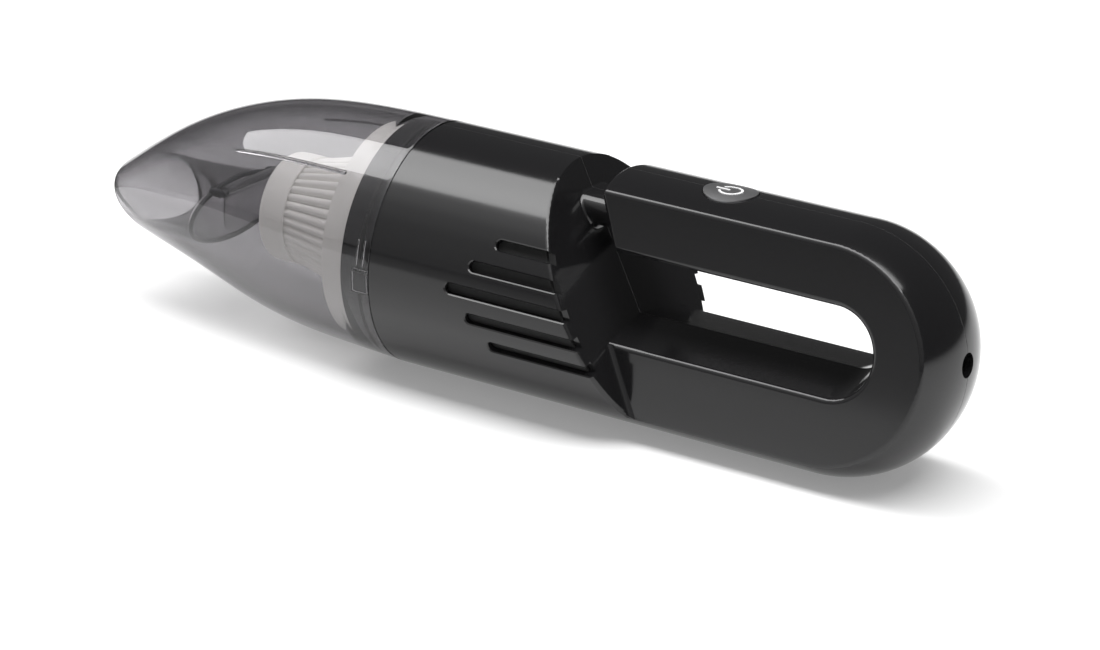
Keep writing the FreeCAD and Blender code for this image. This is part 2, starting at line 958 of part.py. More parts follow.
def motor_magnets():
    outer = motor_r - motor_wall - tiny_gap
    inset = 2 * motor_wall
    ring = tube_x(outer, outer - magnet_t, motor_rear_x() + inset, motor_front_x() - inset)
    half = magnet_t
    split = block(motor_rear_x() - overrun, 0, -half, half, -barrel_r, barrel_r)
    return ring.cut(split)


def motor_end_cap():
    rear = motor_rear_x()
    disc = rod_x(motor_r - tiny_gap, rear - end_cap_t, rear)
    plug = rod_x(motor_r - motor_wall - tiny_gap, rear, rear + motor_wall)
    bore = rod_x(shaft_r + shaft_gap, rear - overrun, rear + overrun)
    slots = []
    for side in (1, -1):
        y = side * motor_r / 2
        half_w = terminal_w / 2 + tiny_gap
        half_t = terminal_t / 2 + tiny_gap
        slots.append(block(rear - overrun, rear + overrun, y - half_w, y + half_w, -half_t, half_t))
    return disc.fuse(plug).cut(bore).cut(Part.makeCompound(slots))


def motor_terminals():
    rear = motor_rear_x()
    tabs = []
    for side in (1, -1):
        y = side * motor_r / 2
        half_w = terminal_w / 2
        half_t = terminal_t / 2
        tabs.append(block(rear - end_cap_t - terminal_l, rear, y - half_w, y + half_w, -half_t, half_t))
    return Part.makeCompound(tabs)


def motor_mount():
    rear = mount_ring_x - mount_ring_l
    return tube_x(motor_r + mount_ring_t, motor_r + tiny_gap, rear, mount_ring_x)


# Clear dust cup

def cup_section(place, inset):
    x = cup_along_shares[place] * cup_l
    top = cup_top_shares[place] * barrel_r - inset
    low = -cup_bottom_shares[place] * barrel_r + inset
    half_w = cup_side_shares[place] * barrel_r - inset
    middle = (top + low) / 2
    half_h = (top - low) / 2
    points = []
    for step in range(cup_section_points):
        angle = 2 * math.pi * step / cup_section_points
        points.append(Vector(x, half_w * math.cos(angle), middle + half_h * math.sin(angle)))
    curve = Part.BSplineCurve()
    curve.interpolate(Points=points, PeriodicFlag=True)
    return Part.Wire([curve.toShape()])


def cup_form(inset):
    wires = [cup_section(place, inset) for place in range(len(cup_along_shares))]
    return Part.makeLoft(wires, True, False)


def cup_half_w_at(x):
    share = x / cup_l
    for place in range(1, len(cup_along_shares)):
        if share <= cup_along_shares[place]:
            break
    run = cup_along_shares[place] - cup_along_shares[place - 1]
    part = (share - cup_along_shares[place - 1]) / run
    low = cup_side_shares[place - 1]
    high = cup_side_shares[place]
    return (low + part * (high - low)) * barrel_r - cup_wall


def beyond_mouth():
    reach = 2 * barrel_r
    tool = block(0, reach, -reach, reach, -reach, reach)
    tool.rotate(CENTRE, Y_AXIS, mouth_slant_deg)
    tool.translate(Vector(mouth_x, 0, mouth_z))
    return tool


def cup_rib(side):
    skin = cup_form(-cup_rib_h).cut(cup_form(cup_wall / 2))
    half = cup_rib_w / 2
    rear = cup_rib_front_x - cup_rib_l
    bar = block(rear, cup_rib_front_x, 0, 2 * barrel_r, -half, half)
    bar.rotate(CENTRE, X_AXIS, cup_rib_deg)
    if side < 0:
        bar = bar.mirror(CENTRE, Y_AXIS)
    return bar.common(skin)


def dust_cup():
    cavity = cup_form(cup_wall)
    shell = cup_form(0).cut(cavity)
    shell = shell.cut(rod_x(2 * barrel_r, -overrun, cup_seam_gap))
    shell = shell.cut(rod_x(collar_bore_r, -overrun, collar_l))
    shell = shell.cut(key_slot())
    shell = shell.fuse([cup_rib(1), cup_rib(-1)])
    return shell.cut(beyond_mouth()).cut(rest_flat_tool())


# Inlet duct with its dark rim and the flap valve that hangs on a pin

def duct_wire(x, z, half_w, half_h, tilt_deg):
    points = []
    for step in range(cup_section_points):
        angle = 2 * math.pi * step / cup_section_points
        points.append(Vector(0, half_w * math.cos(angle), half_h * math.sin(angle)))
    curve = Part.BSplineCurve()
    curve.interpolate(Points=points, PeriodicFlag=True)
    wire = Part.Wire([curve.toShape()])
    wire.rotate(CENTRE, Y_AXIS, tilt_deg)
    wire.translate(Vector(x, 0, z))
    return wire


def duct_end_half_w():
    return cup_half_w_at(duct_end_x) - duct_end_side_gap


def duct_form(inset):
    tilt = -duct_end_tilt_deg
    mid_half_w = cup_half_w_at(duct_mid_x) - duct_mid_side_gap
    wires = [
        duct_wire(duct_end_x, duct_end_z, duct_end_half_w() - inset, duct_end_half_h - inset, tilt),
        duct_wire(duct_mid_x, duct_mid_z, mid_half_w - inset, duct_mid_half_h - inset, 0),
        duct_wire(duct_mouth_x, duct_mouth_z, duct_mouth_half_w - inset, duct_mouth_half_h - inset, 0),
    ]
    return Part.makeLoft(wires, True, False)


def inlet_duct():
    duct = duct_form(0).cut(duct_form(duct_wall))
    duct = duct.common(cup_form(cup_wall + tiny_gap))
    return duct.cut(beyond_mouth())


def flap_pin_x():
    return duct_end_x - rim_t - flap_pin_back


def duct_rim():
    tilt = -duct_end_tilt_deg
    back = Vector(-rim_t, 0, 0)
    half_w = duct_end_half_w()
    outer = duct_wire(duct_end_x, duct_end_z, half_w + rim_h / 2, duct_end_half_h + rim_h, tilt)
    inner = duct_wire(duct_end_x, duct_end_z, half_w - duct_wall, duct_end_half_h - duct_wall, tilt)
    ring = Part.Face(outer).extrude(back)
    for side in (1, -1):
        ring = ring.fuse(flap_ear(side))
    opening = Part.Face(inner).extrude(back)
    reach = 2 * flap_pin_half_l
    pin_bore = rod_y(flap_pin_r + shaft_gap, -reach, reach, flap_pin_x(), flap_pin_z)
    return ring.cut(opening).cut(pin_bore)


def flap_ear(side):
    low = min(side * (flap_pin_half_l - flap_ear_t), side * flap_pin_half_l)
    high = low + flap_ear_t
    disc = rod_y(flap_ear_r, low, high, flap_pin_x(), flap_pin_z)
    front = flap_pin_x() + flap_pin_back
    arm = block(flap_pin_x(), front, low, high, flap_pin_z - flap_ear_r, flap_pin_z + flap_ear_r)
    return disc.fuse(arm)


def flap_pin():
    return rod_y(flap_pin_r, -flap_pin_half_l, flap_pin_half_l, flap_pin_x(), flap_pin_z)


def flap_valve():
    x = flap_pin_x()
    half = flap_half_w
    knuckle = rod_y(flap_pin_r + flap_knuckle_wall, -half, half, x, flap_pin_z)
    low = flap_pin_z - flap_h
    plate = block(x - flap_t / 2, x + flap_t / 2, -half, half, low, flap_pin_z)
    corners = [edge for edge in plate.Edges if abs(edge.tangentAt(0).x) > 0.5]
    low_corners = [edge for edge in corners if edge.CenterOfMass.z < low + flap_t]
    plate = plate.makeFillet(flap_h / 3, low_corners)
    bore = rod_y(flap_pin_r + shaft_gap, -2 * half, 2 * half, x, flap_pin_z)
    return knuckle.fuse(plate).cut(bore)


# Pleated filter

def star_wire(x, outer_r, depth):
    points = []
    for step in range(2 * pleat_count):
        angle = math.pi * step / pleat_count
        radius = outer_r if step % 2 == 0 else outer_r - depth
        points.append(Vector(x, radius * math.cos(angle), radius * math.sin(angle)))
    return Part.makePolygon(points + points[:1])


def pleat_solid(inset):
    rear = star_wire(flange_front_x, pleat_rear_r - inset, pleat_depth * pleat_rear_r / pleat_front_r)
    front = star_wire(pleat_front_x, pleat_front_r - inset, pleat_depth)
    return Part.makeLoft([rear, front], True, True)


def filter_pleats():
    return pleat_solid(0).cut(pleat_solid(pleat_paper_t * 2))


def filter_cap():
    front = pleat_front_x + filter_cap_l
    disc = rod_x(filter_cap_r, pleat_front_x - filter_cap_rim, front)
    rim = [edge for edge in disc.Edges if edge.CenterOfMass.x > front - tiny_gap]
    rim = [edge for edge in rim if len(edge.Vertexes) == 1]
    disc = disc.makeFillet(filter_cap_round, rim)
    pleat_slope = (pleat_rear_r - pleat_front_r) / (pleat_front_x - flange_front_x)
    pocket_r = pleat_front_r + pleat_slope * filter_cap_rim + tiny_gap
    pocket = rod_x(pocket_r, pleat_front_x - 2 * filter_cap_rim, pleat_front_x)
    return disc.cut(pocket)


def filter_cage():
    tube = tube_x(cage_r, cage_r - cage_wall, flange_front_x, pleat_front_x)
    windows = []
    half = cage_window_w / 2
    for place in range(cage_windows):
        rear = flange_front_x + cage_band
        window = block(rear, pleat_front_x - cage_band, 0, 2 * cage_r, -half, half)
        window.rotate(CENTRE, X_AXIS, (place + 0.5) * 360 / cage_windows)
        windows.append(window)
    return tube.cut(Part.makeCompound(windows))


def filter_flange():
    rear = flange_rear_x
    front = flange_front_x
    face = tube_x(flange_r, cage_r - cage_wall, front - flange_face_t, front)
    rim = tube_x(flange_r, flange_r - flange_rim_t, rear, front)
    inner = tube_x(cage_r + flange_rim_t, cage_r - cage_wall, rear, front)
    return fuse_all([face, rim, inner])


def filter_gasket():
    outer = flange_r - flange_rim_t / 4
    return tube_x(outer, flange_r - flange_rim_t, flange_rear_x - gasket_t, flange_rear_x)


# Export, shifted so that the origin lies on the resting flat

def export(name, shape):
    shape = shape.copy()
    shape.translate(Vector(-origin_x, 0, axis_height))
    shape.exportStep("parts/" + name + ".step")
    print(name, len(shape.Solids), shape.isValid(), round(shape.Volume, 1))


def main():
    os.makedirs("parts", exist_ok=True)
    export("casing_left", casing_half(1))
    export("casing_right", casing_half(-1))
    export("casing_screws", casing_screws())
    export("exhaust_foam_left", exhaust_foam(1))
    export("exhaust_foam_right", exhaust_foam(-1))
    export("power_button", power_button())
    export("power_symbol", power_symbol())
    export("tact_switch", tact_switch().cut(switch_recess()))
    export("switch_plunger", switch_plunger())
    export("control_board", control_board())
    export("board_components", board_parts())
    export("charging_socket", charging_socket())
    export("battery_cell_left", battery_cell(1))
    export("battery_cell_right", battery_cell(-1))
    export("battery_cradle", battery_cradle())
    export("battery_front_tab", front_tab())
    export("battery_rear_tab", rear_tab())
    export("intake_bulkhead", intake_bulkhead())
    export("intake_grille", intake_grille())
    export("cup_seal", cup_seal())
    export("fan_housing", fan_housing())
    export("fan_impeller", fan_impeller())
    export("motor_shaft", motor_shaft())
    export("motor_rotor", motor_rotor())
    export("motor_can", motor_can())
    export("motor_magnets", motor_magnets())
    export("motor_end_cap", motor_end_cap())
    export("motor_terminals", motor_terminals())
    export("motor_mount", motor_mount())
    export("dust_cup", dust_cup())
    export("inlet_duct", inlet_duct())
    export("duct_rim", duct_rim())
    export("flap_pin", flap_pin())
    export("flap_valve", flap_valve())
    export("filter_cap", filter_cap())
    export("filter_pleats", filter_pleats())
    export("filter_cage", filter_cage())
    export("filter_flange", filter_flange())
    export("filter_gasket", filter_gasket())


main()
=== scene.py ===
# %% [markdown]
# # A desktop mini vacuum cleaner
# The cleaner is a black glossy barrel with a loop handle and a smoked clear dust cup.
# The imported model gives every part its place. This file gives every surface its finish,
# and sets up the floor, the lamps and the camera.
# Everything is in metres. +X points to the suction mouth, +Y to the left side, +Z up.

import math

import bmesh
import bpy
from mathutils import Matrix, Vector


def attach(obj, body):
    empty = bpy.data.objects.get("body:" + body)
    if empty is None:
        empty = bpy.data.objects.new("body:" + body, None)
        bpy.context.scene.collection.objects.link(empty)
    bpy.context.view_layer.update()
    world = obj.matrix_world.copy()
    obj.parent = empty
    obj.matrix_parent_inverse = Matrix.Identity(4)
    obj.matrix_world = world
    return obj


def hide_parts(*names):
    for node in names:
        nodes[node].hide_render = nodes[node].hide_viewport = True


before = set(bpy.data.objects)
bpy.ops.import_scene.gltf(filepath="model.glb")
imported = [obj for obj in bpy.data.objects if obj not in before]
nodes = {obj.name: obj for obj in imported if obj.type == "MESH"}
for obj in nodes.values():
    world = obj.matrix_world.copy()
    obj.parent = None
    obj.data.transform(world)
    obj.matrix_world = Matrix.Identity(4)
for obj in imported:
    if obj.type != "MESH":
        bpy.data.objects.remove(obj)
scene = bpy.context.scene
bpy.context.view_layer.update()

# %% [markdown]
# ## Sizes
# Only a few sizes are needed here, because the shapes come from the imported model.
# The barrel's axis is a line along X, and the handle ends in a half ball on that axis.

# %% Sizes of the barrel
MM = 0.001
BARREL_RADIUS = 40.0 * MM
AXIS_HEIGHT = 39.6 * MM
SEAM_X = 37.7 * MM
DOME_X = SEAM_X - 149.5 * MM

# %% [markdown]
# ## Shared effects
# Moulded plastic is never quite even: its gloss drifts over a few centimetres, and handling
# leaves hair-fine marks. One node group makes both from noise on the Object coordinates, so
# every plastic part can have its own amount of each.


# %% A node group for uneven gloss
def new_group(name, inputs, outputs):
    group = bpy.data.node_groups.new(name, "ShaderNodeTree")
    for label, kind, value in inputs:
        socket = group.interface.new_socket(label, in_out="INPUT", socket_type=kind)
        socket.default_value = value
    for label, kind in outputs:
        group.interface.new_socket(label, in_out="OUTPUT", socket_type=kind)
    group_in = group.nodes.new("NodeGroupInput")
    group_out = group.nodes.new("NodeGroupOutput")
    return group, group_in, group_out


def gloss_group():
    group, group_in, group_out = new_group(
        "uneven_gloss",
        [
            ("Roughness", "NodeSocketFloat", 0.2),
            ("Drift", "NodeSocketFloat", 0.05),
            ("Marks", "NodeSocketFloat", 0.05),
            ("Scale", "NodeSocketFloat", 60.0),
        ],
        [("Roughness", "NodeSocketFloat"), ("Height", "NodeSocketFloat")],
    )
    nodes_in = group.nodes
    links = group.links
    place = nodes_in.new("ShaderNodeTexCoord")
    broad = nodes_in.new("ShaderNodeTexNoise")
    broad.inputs["Detail"].default_value = 3.0
    fine = nodes_in.new("ShaderNodeTexNoise")
    fine.inputs["Detail"].default_value = 6.0
    fine_scale = nodes_in.new("ShaderNodeMath")
    fine_scale.operation = "MULTIPLY"
    fine_scale.inputs[1].default_value = 22.0
    links.new(place.outputs["Object"], broad.inputs["Vector"])
    links.new(place.outputs["Object"], fine.inputs["Vector"])
    links.new(group_in.outputs["Scale"], broad.inputs["Scale"])
    links.new(group_in.outputs["Scale"], fine_scale.inputs[0])
    links.new(fine_scale.outputs[0], fine.inputs["Scale"])
    total = group_in.outputs["Roughness"]
    for noise, amount in ((broad, "Drift"), (fine, "Marks")):
        centred = nodes_in.new("ShaderNodeMath")
        centred.operation = "SUBTRACT"
        centred.inputs[1].default_value = 0.5
        links.new(noise.outputs["Fac"], centred.inputs[0])
        scaled = nodes_in.new("ShaderNodeMath")
        scaled.operation = "MULTIPLY_ADD"
        links.new(centred.outputs[0], scaled.inputs[0])
        links.new(group_in.outputs[amount], scaled.inputs[1])
        links.new(total, scaled.inputs[2])
        total = scaled.outputs[0]
    links.new(total, group_out.inputs["Roughness"])
    links.new(fine.outputs["Fac"], group_out.inputs["Height"])
    return group


UNEVEN_GLOSS = gloss_group()
print("shared effect:", UNEVEN_GLOSS.name)

# %% [markdown]
# The two halves of the casing meet in the middle, at y = 0. On the real thing that shows as
# a hair-fine groove. It is far too narrow to model, so a node group finds it from the Object
# coordinates: its mask is 1 on the line and falls to 0 within a tenth of a millimetre.


# %% A node group for the parting line
def parting_group():
    group, group_in, group_out = new_group(
        "parting_line",
        [("Half Width", "NodeSocketFloat", 0.1 * MM)],
        [("Mask", "NodeSocketFloat")],
    )
    place = group.nodes.new("ShaderNodeTexCoord")
    split = group.nodes.new("ShaderNodeSeparateXYZ")
    away = group.nodes.new("ShaderNodeMath")
    away.operation = "ABSOLUTE"
    mask = group.nodes.new("ShaderNodeMapRange")
    mask.interpolation_type = "SMOOTHSTEP"
    mask.inputs["From Min"].default_value = 0.0
    mask.inputs["To Min"].default_value = 1.0
    mask.inputs["To Max"].default_value = 0.0
    group.links.new(place.outputs["Object"], split.inputs[0])
    group.links.new(split.outputs["Y"], away.inputs[0])
    group.links.new(away.outputs[0], mask.inputs["Value"])
    group.links.new(group_in.outputs["Half Width"], mask.inputs["From Max"])
    group.links.new(mask.outputs["Result"], group_out.inputs["Mask"])
    return group


PARTING_LINE = parting_group()

# %% [markdown]
# ## Materials
# Each finish starts from the Principled shader. The helper below makes one, wires the shared
# gloss effect into its roughness, and adds a very small bump from the same noise.


# %% A plastic material
def new_material(name):
    material = bpy.data.materials.new(name)
    material.use_nodes = True
    return material, material.node_tree, material.node_tree.nodes["Principled BSDF"]


def add_gloss(tree, shader, roughness, drift, marks, scale=60.0, bump=0.0):
    effect = tree.nodes.new("ShaderNodeGroup")
    effect.node_tree = UNEVEN_GLOSS
    effect.inputs["Roughness"].default_value = roughness
    effect.inputs["Drift"].default_value = drift
    effect.inputs["Marks"].default_value = marks
    effect.inputs["Scale"].default_value = scale
    tree.links.new(effect.outputs["Roughness"], shader.inputs["Roughness"])
    if bump > 0:
        relief = tree.nodes.new("ShaderNodeBump")
        relief.inputs["Strength"].default_value = 0.4
        relief.inputs["Distance"].default_value = bump
        tree.links.new(effect.outputs["Height"], relief.inputs["Height"])
        tree.links.new(relief.outputs["Normal"], shader.inputs["Normal"])
    return effect


def plastic(name, color, roughness, drift=0.04, marks=0.03, scale=60.0, bump=0.0, ior=1.5):
    material, tree, shader = new_material(name)
    shader.inputs["Base Color"].default_value = (*color, 1.0)
    shader.inputs["IOR"].default_value = ior
    add_gloss(tree, shader, roughness, drift, marks, scale, bump)
    return material


def metal(name, color, roughness, drift=0.05, marks=0.08, scale=120.0, bump=0.0):
    material, tree, shader = new_material(name)
    shader.inputs["Base Color"].default_value = (*color, 1.0)
    shader.inputs["Metallic"].default_value = 1.0
    add_gloss(tree, shader, roughness, drift, marks, scale, bump)
    return material


# %% A clear plastic, darker where the wall is seen edge-on, and half clear to lamp light
def clear_plastic(name, tint, roughness, shade=0.25, rim_tint=None):
    material, tree, shader = new_material(name)
    shader.inputs["Base Color"].default_value = (*tint, 1.0)
    if rim_tint:
        facing = tree.nodes.new("ShaderNodeLayerWeight")
        grazing = tree.nodes.new("ShaderNodeMapRange")
        grazing.interpolation_type = "SMOOTHSTEP"
        grazing.inputs["From Min"].default_value = 0.4
        grazing.inputs["From Max"].default_value = 0.82
        depth = tree.nodes.new("ShaderNodeMix")
        depth.data_type = "RGBA"
        depth.inputs["A"].default_value = (*tint, 1.0)
        depth.inputs["B"].default_value = (*rim_tint, 1.0)
        tree.links.new(facing.outputs["Facing"], grazing.inputs["Value"])
        tree.links.new(grazing.outputs["Result"], depth.inputs["Factor"])
        tree.links.new(depth.outputs["Result"], shader.inputs["Base Color"])
    shader.inputs["Transmission Weight"].default_value = 1.0
    shader.inputs["IOR"].default_value = 1.49
    add_gloss(tree, shader, roughness, 0.02, 0.02)
    path = tree.nodes.new("ShaderNodeLightPath")
    cover = tree.nodes.new("ShaderNodeMapRange")
    cover.inputs["To Min"].default_value = 1.0
    cover.inputs["To Max"].default_value = shade
    tree.links.new(path.outputs["Is Shadow Ray"], cover.inputs["Value"])
    tree.links.new(cover.outputs["Result"], shader.inputs["Alpha"])
    return material


# %% Painted glow: the filter emits a little light of its own, seen only through the clear cup
def painted_glow_behind_clear(material, color, strength):
    tree = material.node_tree
    shader = tree.nodes["Principled BSDF"]
    path = tree.nodes.new("ShaderNodeLightPath")
    emission_with_painted_glow = tree.nodes.new("ShaderNodeMix")
    emission_with_painted_glow.data_type = "RGBA"
    emission_with_painted_glow.inputs["A"].default_value = (0.0, 0.0, 0.0, 1.0)
    emission_with_painted_glow.inputs["B"].default_value = (*color, 1.0)
    tree.links.new(path.outputs["Is Transmission Ray"], emission_with_painted_glow.inputs["Factor"])
    tree.links.new(emission_with_painted_glow.outputs["Result"], shader.inputs["Emission Color"])
    shader.inputs["Emission Strength"].default_value = strength


# %% The black gloss of the casing, with its parting line
def black_shell():
    material, tree, shader = new_material("black_gloss")
    shader.inputs["IOR"].default_value = 1.5
    effect = add_gloss(tree, shader, 0.12, 0.05, 0.03, 40.0)
    line = tree.nodes.new("ShaderNodeGroup")
    line.node_tree = PARTING_LINE
    line.inputs["Half Width"].default_value = 0.16 * MM
    color = tree.nodes.new("ShaderNodeMix")
    color.data_type = "RGBA"
    color.inputs["A"].default_value = (0.011, 0.0108, 0.0115, 1.0)
    color.inputs["B"].default_value = (0.001, 0.001, 0.001, 1.0)
    tree.links.new(line.outputs["Mask"], color.inputs["Factor"])
    tree.links.new(color.outputs["Result"], shader.inputs["Base Color"])
    rough = tree.nodes.new("ShaderNodeMath")
    rough.operation = "MULTIPLY_ADD"
    rough.inputs[1].default_value = 0.6
    tree.links.new(line.outputs["Mask"], rough.inputs[0])
    tree.links.new(effect.outputs["Roughness"], rough.inputs[2])
    tree.links.new(rough.outputs[0], shader.inputs["Roughness"])
    groove = tree.nodes.new("ShaderNodeBump")
    groove.invert = True
    groove.inputs["Distance"].default_value = 0.2 * MM
    tree.links.new(line.outputs["Mask"], groove.inputs["Height"])
    tree.links.new(groove.outputs["Normal"], shader.inputs["Normal"])
    return material


BLACK_GLOSS = black_shell()
INNER_BLACK = plastic("inner_black", (0.016, 0.016, 0.017), 0.4, 0.1, 0.1, 80.0, 0.00004)
BULKHEAD_BLACK = plastic("bulkhead_black", (0.02, 0.02, 0.022), 0.25)
SYMBOL_WHITE = plastic("symbol_white", (0.85, 0.85, 0.85), 0.4)
BOARD_GREEN = plastic("board_green", (0.02, 0.14, 0.06), 0.35)
CELL_WRAP = plastic("cell_wrap", (0.04, 0.12, 0.3), 0.3)
RUBBER_BLACK = plastic("rubber_black", (0.02, 0.02, 0.02), 0.7, 0.1, 0.1, 90.0, 0.00005)
FAN_GREY = plastic("fan_grey", (0.2, 0.2, 0.21), 0.4)
RIM_DARK = plastic("rim_dark", (0.04, 0.04, 0.045), 0.3)
FILTER_IVORY = plastic("filter_ivory", (0.82, 0.81, 0.77), 0.38, 0.05, 0.05, 90.0)
FILTER_PAPER = plastic("filter_paper", (0.88, 0.87, 0.83), 0.85, 0.05, 0.1, 150.0, 0.0001)
FOAM_DARK = plastic("foam_dark", (0.03, 0.03, 0.03), 0.95, 0.0, 0.05, 300.0, 0.0008)
BUTTON_SILVER = metal("button_silver", (0.62, 0.62, 0.63), 0.34)
STEEL = metal("steel", (0.5, 0.5, 0.51), 0.3)
NICKEL = metal("nickel", (0.62, 0.6, 0.56), 0.28)
COPPER = metal("copper", (0.75, 0.35, 0.18), 0.35)
BRASS = metal("brass", (0.75, 0.55, 0.25), 0.3)
MAGNET_DARK = metal("magnet_dark", (0.08, 0.08, 0.08), 0.55)
# The filter's ivory parts and its paper get the painted glow behind the clear cup.
for finish in (FILTER_IVORY, FILTER_PAPER):
    painted_glow_behind_clear(finish, (0.98, 0.96, 0.91), 0.42)
SMOKE = (0.352, 0.345, 0.356)
CUP_SMOKED = clear_plastic("cup_smoked", SMOKE, 0.02, rim_tint=(0.045, 0.042, 0.047))
DUCT_SMOKED = clear_plastic("duct_smoked", (0.62, 0.61, 0.62), 0.05, rim_tint=(0.2, 0.2, 0.21))
FLAP_GREY = clear_plastic("flap_grey", (0.66, 0.66, 0.67), 0.15)

NODE_FINISH = {
    "casing_screws": STEEL,
    "exhaust_foam_left": FOAM_DARK,
    "exhaust_foam_right": FOAM_DARK,
    "tact_switch": INNER_BLACK,
    "switch_plunger": INNER_BLACK,
    "control_board": BOARD_GREEN,
    "board_components": INNER_BLACK,
    "charging_socket": INNER_BLACK,
    "battery_cell_left": CELL_WRAP,
    "battery_cell_right": CELL_WRAP,
    "battery_cradle": INNER_BLACK,
    "battery_front_tab": NICKEL,
    "battery_rear_tab": NICKEL,
    "intake_grille": BULKHEAD_BLACK,
    "cup_seal": RUBBER_BLACK,
    "fan_housing": BULKHEAD_BLACK,
    "fan_impeller": FAN_GREY,
    "motor_shaft": STEEL,
    "motor_rotor": COPPER,
    "motor_can": STEEL,
    "motor_magnets": MAGNET_DARK,
    "motor_end_cap": INNER_BLACK,
    "motor_terminals": BRASS,
    "motor_mount": RUBBER_BLACK,
    "flap_pin": FLAP_GREY,
    "filter_gasket": RUBBER_BLACK,
}
for node_name, finish in NODE_FINISH.items():
    nodes[node_name].data.materials.clear()
    nodes[node_name].data.materials.append(finish)
print("nodes with a finish:", len(NODE_FINISH))

# %% [markdown]
# ## Smooth copies of the moulded parts
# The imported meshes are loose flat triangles, so a gloss reflection breaks up on them.
# A copy with its corners merged can be smooth: triangles that lie in one plane become one
# face, edges that turn by more than a set angle stay sharp, and the Weighted Normal modifier
# lets large faces decide the shading, so that flats look flat right up to their rounded rims.


# %% Helper: a merged copy of a node
def merged_copy(piece_name, node_name, sharp_deg=32.0):
    mesh = nodes[node_name].data.copy()
    mesh.name = piece_name
    mesh.materials.clear()
    shape = bmesh.new()
    shape.from_mesh(mesh)
    bmesh.ops.remove_doubles(shape, verts=shape.verts, dist=0.002 * MM)
    bmesh.ops.dissolve_degenerate(shape, edges=shape.edges, dist=0.002 * MM)
    bmesh.ops.dissolve_limit(
        shape, verts=shape.verts, edges=shape.edges, angle_limit=math.radians(0.15)
    )
    for edge in shape.edges:
        edge.smooth = edge.calc_face_angle(0.0) < math.radians(sharp_deg)
    for face in shape.faces:
        face.smooth = True
    shape.to_mesh(mesh)
    shape.free()
    piece = bpy.data.objects.new(piece_name, mesh)
    scene.collection.objects.link(piece)
    weigh = piece.modifiers.new("weigh", "WEIGHTED_NORMAL")
    weigh.mode = "FACE_AREA"
    weigh.weight = 100
    weigh.keep_sharp = True
    return piece


def dress(piece_name, node_name, finish, body, sharp_deg=32.0):
    piece = merged_copy(piece_name, node_name, sharp_deg)
    piece.data.materials.append(finish)
    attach(piece, body)
    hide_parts(node_name)
    return piece


# %% [markdown]
# The barrel and the dome are seen almost only by what they mirror, and a tube made of flat
# strips mirrors in strips. Both follow a simple rule, though: every point of the outer skin is
# one radius from the axis, or from the dome's centre. So the true direction of the skin is
# known at each corner, and it is stored on the mesh as a custom normal.


# %% Helper: true directions on the barrel and the dome
def skin_direction(point):
    centre = Vector((max(point.x, DOME_X), 0.0, AXIS_HEIGHT))
    out = point - centre if point.x < DOME_X else Vector((0.0, point.y, point.z - AXIS_HEIGHT))
    if abs(out.length - BARREL_RADIUS) > 0.03 * MM:
        return None
    return out.normalized()


def true_skin(piece):
    graph = bpy.context.evaluated_depsgraph_get()
    weighed = bpy.data.meshes.new_from_object(piece.evaluated_get(graph))
    mesh = piece.data
    directions = [corner.vector.copy() for corner in weighed.corner_normals]
    count = 0
    for face in mesh.polygons:
        wanted = [skin_direction(mesh.vertices[v].co) for v in face.vertices]
        if any(d is None or d.dot(face.normal) < 0.97 for d in wanted):
            continue
        count += 1
        for corner, direction in zip(face.loop_indices, wanted):
            directions[corner] = direction
    piece.modifiers.clear()
    mesh.normals_split_custom_set(directions)
    bpy.data.meshes.remove(weighed)
    print(piece.name, "faces on the true skin:", count, "of", len(mesh.polygons))


# %% Dress the moulded parts
DRESSED = (
    ("shell_left", "casing_left", BLACK_GLOSS, "casing", "casing_black"),
    ("shell_right", "casing_right", BLACK_GLOSS, "casing", "casing_black"),
    ("spigot", "intake_bulkhead", BULKHEAD_BLACK, "casing", "bulkhead_black"),
    ("button_disc", "power_button", BUTTON_SILVER, "button", "button_silver"),
    ("button_mark", "power_symbol", SYMBOL_WHITE, "button", "symbol_white"),
    ("dust_flap", "flap_valve", FLAP_GREY, "flap", "flap_grey"),
    ("filter_end_cap", "filter_cap", FILTER_IVORY, "filter", "filter_ivory"),
    ("filter_inner_cage", "filter_cage", FILTER_IVORY, "filter", "filter_ivory"),
    ("filter_ring", "filter_flange", FILTER_IVORY, "filter", "filter_ivory"),
)
dressed = {}
for piece_name, node_name, finish, body, slot_name in DRESSED:
    dressed[piece_name] = dress(piece_name, node_name, finish, body)
for shell_name in ("shell_left", "shell_right"):
    true_skin(dressed[shell_name])
print("dressed pieces:", len(dressed))

# %% [markdown]
# ## The clear cup
# A clear wall shows every facet twice, in what it mirrors and in what it bends. So the cup,
# its duct and its filter paper get smooth skins of their own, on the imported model's sizes.
# Each is one grid, rolled up into a tube that folds back through itself: its rows run out
# along the outer skin, turn over the rim, and come back along the inner skin.
# The cup's section is an oval. Its top, its bottom and its half width run through stations
# along the axis as a smooth curve, worked out by the spline rule below.


# %% Helper: a smooth curve through stations
def smooth_curve(places, values):
    count = len(places)
    bend = [0.0] * count
    part = [0.0] * count
    for i in range(1, count - 1):
        before = places[i] - places[i - 1]
        after = places[i + 1] - places[i]
        share = before / (before + after)
        pivot = share * bend[i - 1] + 2.0
        jump = (values[i + 1] - values[i]) / after - (values[i] - values[i - 1]) / before
        bend[i] = (share - 1.0) / pivot
        part[i] = (6.0 * jump / (before + after) - share * part[i - 1]) / pivot
    bend[-1] = 0.0
    for i in range(count - 2, -1, -1):
        bend[i] = bend[i] * bend[i + 1] + part[i]

    def curve(x):
        i = max([k for k in range(count - 1) if places[k] <= x], default=0)
        gap = places[i + 1] - places[i]
        a = (places[i + 1] - x) / gap
        b = 1.0 - a
        sway = (a**3 - a) * bend[i] + (b**3 - b) * bend[i + 1]
        return a * values[i] + b * values[i + 1] + sway * gap * gap / 6.0

    return curve


